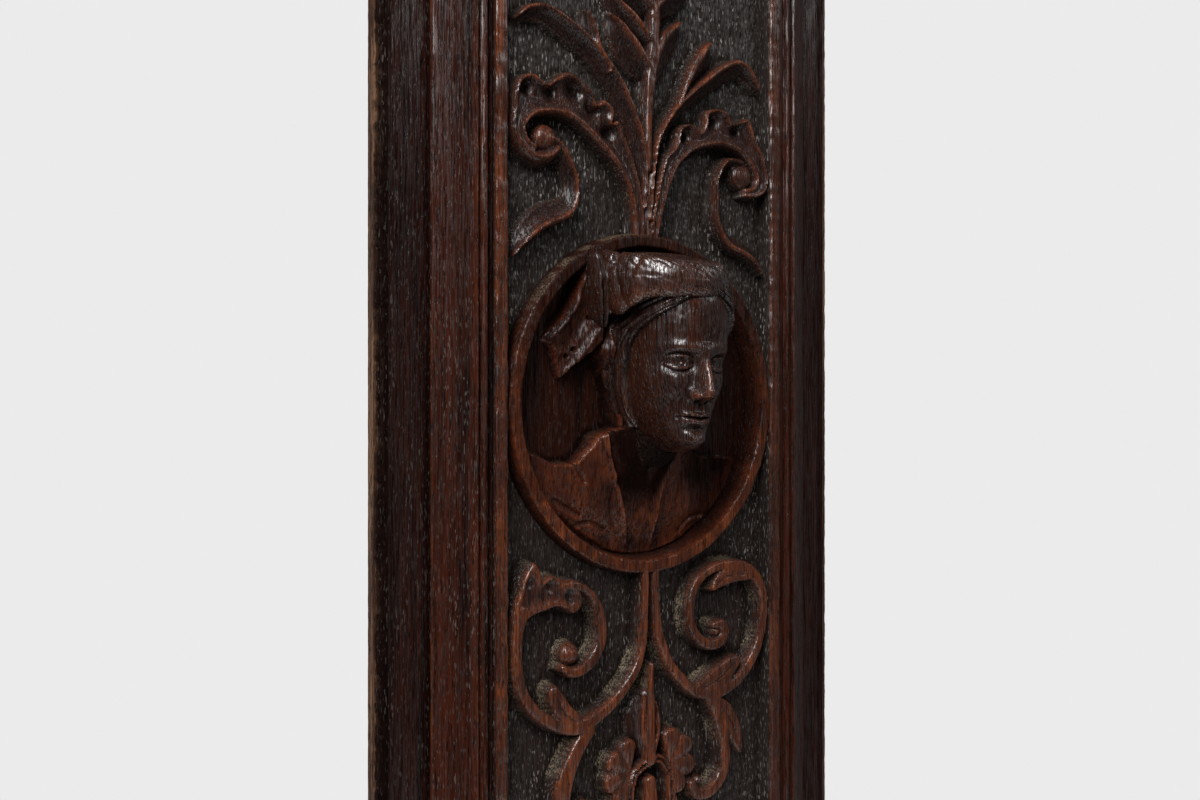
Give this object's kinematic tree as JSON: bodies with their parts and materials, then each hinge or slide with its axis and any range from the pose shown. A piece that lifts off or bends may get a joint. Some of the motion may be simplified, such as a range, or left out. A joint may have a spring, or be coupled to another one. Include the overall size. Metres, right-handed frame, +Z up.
{
  "type": "carved wall panel",
  "caption": "Tall narrow oak wall panel: a medallion with a capped head in high relief between leafy scrolls, in a moulded flat frame",
  "frame": {"origin": "on the flat back that rests on the wall, behind the centre of the medallion", "axes": "+X to the right as the carving is looked at, +Z up along the panel, +Y into the wall; the carving faces -Y"},
  "size_m": [0.3046, 0.075, 0.7846],
  "materials": {
    "carved_oak": "dark waxed oak, carved, near black in the recesses and worn to orange brown on the raised edges",
    "moulding_oak": "dark red-brown waxed oak with open pores and worn patches",
    "frame_oak": "dark purple-brown waxed oak, bare light wood along the worn outer edges"
  },
  "bodies": {
    "root": {"carved_panel": "carved_oak", "moulding_left": "moulding_oak", "moulding_right": "moulding_oak", "moulding_top": "moulding_oak", "moulding_bottom": "moulding_oak", "stile_left": "frame_oak", "stile_right": "frame_oak", "rail_top": "frame_oak", "rail_bottom": "frame_oak"}
  },
  "joints": []
}
